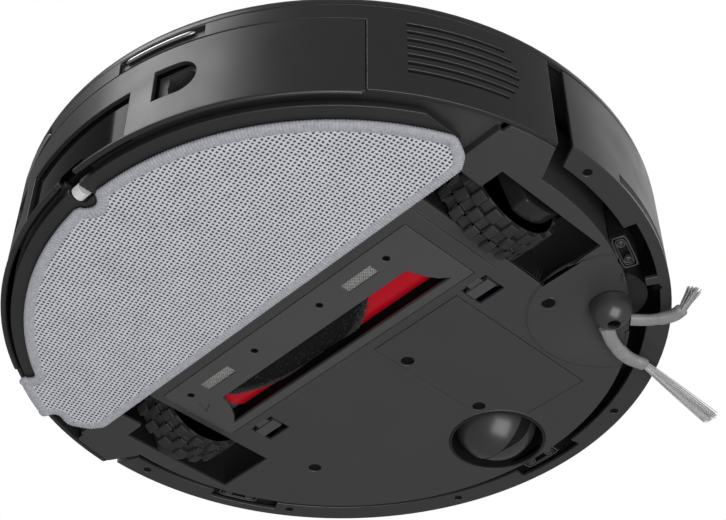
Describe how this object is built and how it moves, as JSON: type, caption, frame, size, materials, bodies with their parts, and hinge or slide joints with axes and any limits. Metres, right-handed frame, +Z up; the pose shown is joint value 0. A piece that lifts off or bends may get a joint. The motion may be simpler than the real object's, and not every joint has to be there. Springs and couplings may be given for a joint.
{
  "type": "robot vacuum",
  "caption": "Round robot vacuum with side brush, roller brush, ball caster, D-shaped mop pad, spring bumper, slide-out rear module and lidar turret.",
  "frame": {"origin": "centre of the round body on the floor that the wheels stand on", "axes": "+Z up, -Y towards the front (bumper side), -X the robot's own right (side brush side)"},
  "size_m": [0.35, 0.3684, 0.097],
  "materials": {
    "chassis_abs": "moulded, fine satin texture",
    "wall_abs": "moulded, satin",
    "deck_abs": "moulded, satin",
    "bumper_abs": "moulded, satin",
    "inner_abs": "moulded, matte black",
    "motor_abs": "moulded, dark",
    "steel": "turned or drawn steel",
    "screw_steel": "blackened steel",
    "contact_nickel": "plated, bright",
    "battery_wrap": "shrink wrap",
    "circuit_board": "solder mask",
    "fan_abs": "moulded",
    "tyre_rubber": "moulded rubber blocks",
    "hub_abs": "moulded, satin",
    "arm_abs": "moulded, semi gloss",
    "caster_gloss": "polished moulding",
    "hub_gloss": "polished smoky moulding",
    "arm_rubber": "translucent grey elastomer",
    "tuft_nylon": "nylon bristles",
    "roller_rubber": "smooth red elastomer",
    "bristle_nylon": "black bristles",
    "cover_abs": "moulded, satin",
    "grille_mesh": "fine woven mesh",
    "strip_rubber": "soft strip",
    "filter_paper": "pleated filter paper",
    "window_gloss": "infrared clear black acrylic",
    "port_rubber": "moulded seal",
    "plug_rubber": "moulded plug",
    "bracket_abs": "moulded, satin",
    "mop_fabric": "woven microfibre",
    "roller_white": "moulded acetal",
    "lens": "clear infrared lens",
    "button_abs": "moulded, light"
  },
  "bodies": {
    "body": {"base_tray": "chassis_abs", "wheel_wells": "inner_abs", "brush_housing": "inner_abs", "side_wall": "wall_abs", "top_cover": "deck_abs", "charge_contacts": "contact_nickel", "battery_cover": "chassis_abs", "battery_pack": "battery_wrap", "main_board": "circuit_board", "blower_housing": "motor_abs", "brush_motor": "motor_abs", "side_brush_motor": "motor_abs", "arm_pins": "steel", "arm_springs": "steel", "caster_socket": "inner_abs", "brush_end_caps": "inner_abs", "bumper_springs": "steel", "cliff_trays": "inner_abs", "cliff_lenses": "lens", "chassis_screws": "screw_steel", "lidar_base": "deck_abs", "lidar_cap": "deck_abs"},
    "blower_fan": {"blower_impeller": "fan_abs"},
    "left_arm": {"left_wheel_arm": "arm_abs"},
    "right_arm": {"right_wheel_arm": "arm_abs"},
    "left_wheel": {"left_wheel_hub": "hub_abs", "left_tyre": "tyre_rubber"},
    "right_wheel": {"right_wheel_hub": "hub_abs", "right_tyre": "tyre_rubber"},
    "caster_turntable": {"caster_swivel": "caster_gloss", "caster_axle": "steel"},
    "caster_roller": {"caster_wheel": "caster_gloss"},
    "side_brush": {"side_brush_hub": "hub_gloss", "side_brush_arms": "arm_rubber", "side_brush_tufts": "tuft_nylon", "side_brush_screw": "screw_steel"},
    "main_brush": {"brush_roller": "roller_rubber", "brush_bristles": "bristle_nylon"},
    "cover": {"brush_cover": "cover_abs", "cover_grilles": "grille_mesh", "cover_screws": "screw_steel"},
    "left_latch": {"left_cover_latch": "cover_abs"},
    "right_latch": {"right_cover_latch": "cover_abs"},
    "bumper": {"bumper_shell": "bumper_abs", "bumper_strip": "strip_rubber", "bumper_screws": "screw_steel"},
    "module": {"rear_panel": "wall_abs", "bin_body": "inner_abs", "module_cover": "inner_abs", "bin_filter": "filter_paper", "port_seals": "port_rubber", "sensor_window": "window_gloss", "water_plug": "plug_rubber"},
    "mop": {"mop_bracket": "bracket_abs", "mop_pad": "mop_fabric", "roller_axle": "steel"},
    "mop_guide": {"guide_roller": "roller_white"},
    "lidar": {"lidar_head": "motor_abs"},
    "power": {"power_button": "button_abs"},
    "dock": {"dock_button": "button_abs"}
  },
  "joints": [
    {"name": "left_suspension", "type": "hinge", "parent": "body", "child": "left_arm", "pos_m": [0.135, 0.046, 0.04], "axis": [1, 0, 0], "range_deg": [0, 25], "stiffness_Nm_per_rad": 0.15, "springref_deg": 51.57},
    {"name": "right_suspension", "type": "hinge", "parent": "body", "child": "right_arm", "pos_m": [-0.135, 0.046, 0.04], "axis": [1, 0, 0], "range_deg": [0, 25], "stiffness_Nm_per_rad": 0.15, "springref_deg": 51.57},
    {"name": "left_wheel_spin", "type": "hinge", "parent": "left_arm", "child": "left_wheel", "pos_m": [0.118, 0.005, 0.034], "axis": [1, 0, 0], "continuous": true},
    {"name": "right_wheel_spin", "type": "hinge", "parent": "right_arm", "child": "right_wheel", "pos_m": [-0.118, 0.005, 0.034], "axis": [1, 0, 0], "continuous": true},
    {"name": "caster_swivel_turn", "type": "hinge", "parent": "body", "child": "caster_turntable", "pos_m": [0, -0.125, 0.03], "axis": [0, 0, 1], "continuous": true},
    {"name": "caster_wheel_spin", "type": "hinge", "parent": "caster_turntable", "child": "caster_roller", "pos_m": [0, -0.125, 0.024], "axis": [0.0872, 0.9962, 0], "continuous": true},
    {"name": "side_brush_spin", "type": "hinge", "parent": "body", "child": "side_brush", "pos_m": [-0.116, -0.085, 0.01], "axis": [0, 0, 1], "continuous": true, "deforming": ["side_brush_arms", "side_brush_tufts"]},
    {"name": "main_brush_spin", "type": "hinge", "parent": "body", "child": "main_brush", "pos_m": [0, 0.008, 0.026], "axis": [1, 0, 0], "continuous": true},
    {"name": "blower_spin", "type": "hinge", "parent": "body", "child": "blower_fan", "pos_m": [-0.118, 0.081, 0.03], "axis": [0, 0, 1], "continuous": true},
    {"name": "lidar_spin", "type": "hinge", "parent": "body", "child": "lidar", "pos_m": [0, 0.045, 0.085], "axis": [0, 0, 1], "continuous": true},
    {"name": "guide_roller_spin", "type": "hinge", "parent": "mop", "child": "mop_guide", "pos_m": [0, 0.165, 0.0065], "axis": [1, 0, 0], "continuous": true},
    {"name": "bumper_press", "type": "slide", "parent": "body", "child": "bumper", "axis": [0, 1, 0], "range_m": [0, 0.004], "stiffness_N_per_m": 400, "springref_m": -0.004, "deforming": ["bumper_springs"]},
    {"name": "module_slide", "type": "slide", "parent": "body", "child": "module", "axis": [0, 1, 0], "range_m": [0, 0.12]},
    {"name": "mop_lift", "type": "slide", "parent": "body", "child": "mop", "axis": [0, 0, 1], "range_m": [0, 0.005]},
    {"name": "brush_cover_lift", "type": "slide", "parent": "body", "child": "cover", "axis": [0, 0, -1], "range_m": [0, 0.03]},
    {"name": "left_latch_slide", "type": "slide", "parent": "body", "child": "left_latch", "axis": [0, -1, 0], "range_m": [0, 0.002], "stiffness_N_per_m": 150, "springref_m": -0.002},
    {"name": "right_latch_slide", "type": "slide", "parent": "body", "child": "right_latch", "axis": [0, -1, 0], "range_m": [0, 0.002], "stiffness_N_per_m": 150, "springref_m": -0.002},
    {"name": "power_press", "type": "slide", "parent": "body", "child": "power", "axis": [0, 0, -1], "range_m": [0, 0.001], "stiffness_N_per_m": 400, "springref_m": -0.001},
    {"name": "dock_press", "type": "slide", "parent": "body", "child": "dock", "axis": [0, 0, -1], "range_m": [0, 0.001], "stiffness_N_per_m": 400, "springref_m": -0.001}
  ]
}
